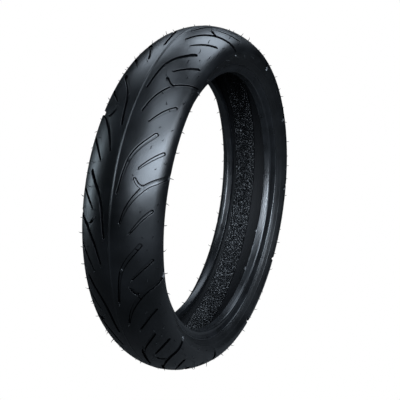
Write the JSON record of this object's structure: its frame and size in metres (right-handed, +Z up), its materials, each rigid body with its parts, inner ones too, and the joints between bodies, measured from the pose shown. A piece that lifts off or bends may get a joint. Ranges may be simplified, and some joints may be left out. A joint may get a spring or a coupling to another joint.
{
  "type": "motorcycle tire",
  "caption": "Tubeless sport motorcycle tire for a 17 inch rim: round crown, directional hooked grooves, bead wires and cord plies inside.",
  "frame": {"origin": "centre of the wheel, on the tire's centre plane", "axes": "+Y along the axle towards the left side, +Z up, +X forwards: rolling forwards turns the tire by the right-hand rule about +Y"},
  "size_m": [0.5838, 0.1436, 0.5866],
  "materials": {
    "tread_rubber": "satin",
    "sidewall_rubber": "satin",
    "rim_strip_rubber": "satin",
    "vent_rubber": "satin",
    "liner_rubber": "matt, leather-like grain",
    "filler_rubber": "matt",
    "ply_cord": "rubbered nylon cord",
    "belt_cord": "rubbered aramid cord",
    "wrap_tape": "rubbered nylon tape",
    "bead_steel": "bronze-coated high-tensile wire"
  },
  "bodies": {
    "root": {"tread_cap": "tread_rubber", "tread_base": "tread_rubber", "sidewall_left": "sidewall_rubber", "sidewall_right": "sidewall_rubber", "belt_edge_strip_left": "sidewall_rubber", "belt_edge_strip_right": "sidewall_rubber", "rim_strip_left": "rim_strip_rubber", "rim_strip_right": "rim_strip_rubber", "bead_flash_right": "rim_strip_rubber", "tread_vent_spews_left": "vent_rubber", "tread_vent_spews_right": "vent_rubber", "sidewall_vent_spews_left": "vent_rubber", "sidewall_vent_spews_right": "vent_rubber", "inner_liner": "liner_rubber", "bead_filler_left": "filler_rubber", "bead_filler_right": "filler_rubber", "bead_rubber_left": "filler_rubber", "bead_rubber_right": "filler_rubber", "carcass_ply_inner": "ply_cord", "carcass_ply_outer": "ply_cord", "belt_inner": "belt_cord", "belt_outer": "belt_cord", "bead_wrap_left": "wrap_tape", "bead_wrap_right": "wrap_tape", "bead_wires_left": "bead_steel", "bead_wires_right": "bead_steel"}
  },
  "joints": []
}
